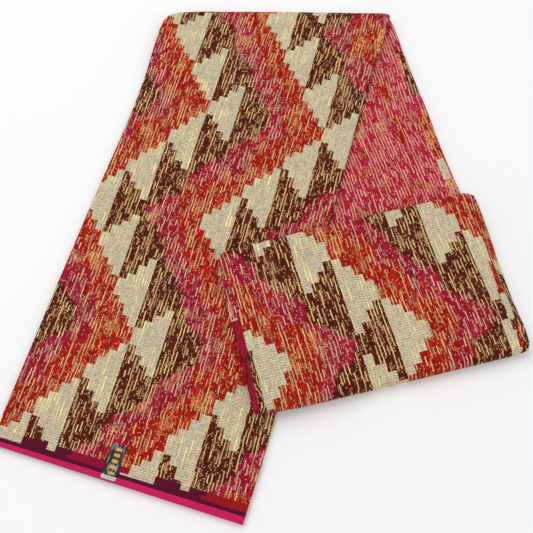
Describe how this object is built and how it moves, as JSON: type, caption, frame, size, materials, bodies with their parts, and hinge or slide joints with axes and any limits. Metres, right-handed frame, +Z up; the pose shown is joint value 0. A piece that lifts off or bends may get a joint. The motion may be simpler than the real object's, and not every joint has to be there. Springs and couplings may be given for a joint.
{
  "type": "folded brocade fabric",
  "caption": "Brocade dress fabric folded back and forth into a long flat strip, turned under at a slanting fold and ending in a short folded bundle, with a plain foil label.",
  "frame": {"origin": "middle of the footprint, on the surface that the cloth lies on", "axes": "+Z up; +Y along the strip, from the selvedge and the bundle towards the slanting top fold; +X to the right when seen with the top fold farthest away"},
  "size_m": [0.4746, 0.5386, 0.0254],
  "materials": {
    "brocade": "jacquard weave, satin ground with metallic thread",
    "foil": "thin printed foil"
  },
  "bodies": {
    "root": {"folded_cloth": "brocade", "foil_label": "foil"}
  },
  "joints": []
}
